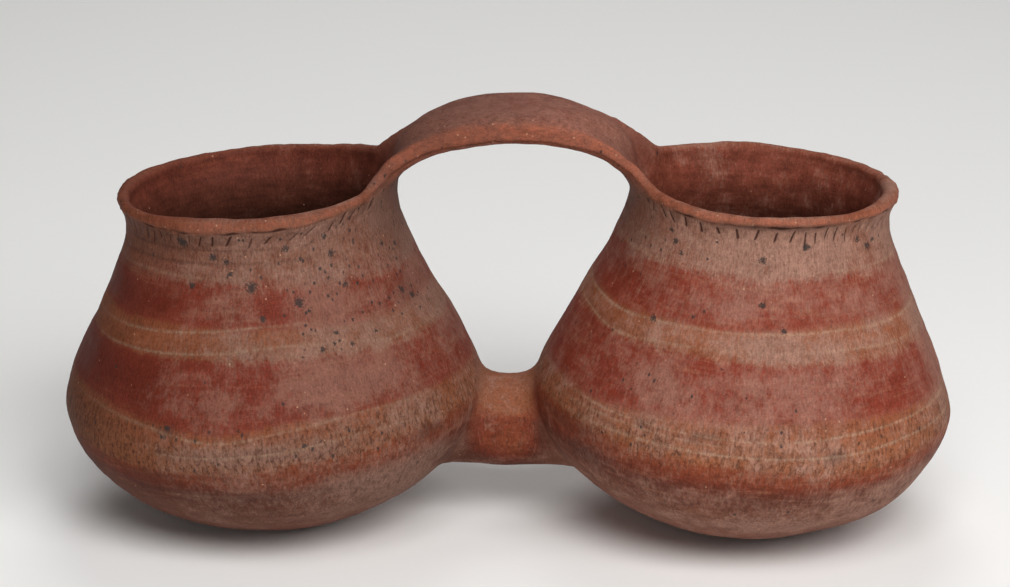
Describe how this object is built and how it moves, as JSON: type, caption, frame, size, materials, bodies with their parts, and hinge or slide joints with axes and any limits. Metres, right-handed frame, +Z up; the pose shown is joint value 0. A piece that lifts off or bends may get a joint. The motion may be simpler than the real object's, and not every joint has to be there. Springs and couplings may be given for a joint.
{
  "type": "double pottery jar",
  "caption": "Twin round-bellied pottery jars of red earthenware, joined by a web at the bellies and a strap handle from rim to rim; both jars are open and hollow.",
  "frame": {"origin": "on the ground, midway between the axes of the two jars", "axes": "+Z up; +X from the shorter jar to the taller one, along the handle; -Y to the front"},
  "size_m": [0.351, 0.166, 0.1695],
  "materials": {
    "red_earthenware": "hand-burnished red and buff earthenware, worn, with matt bands and a smooth rounded base"
  },
  "bodies": {
    "root": {"double_jar": "red_earthenware"}
  },
  "joints": []
}
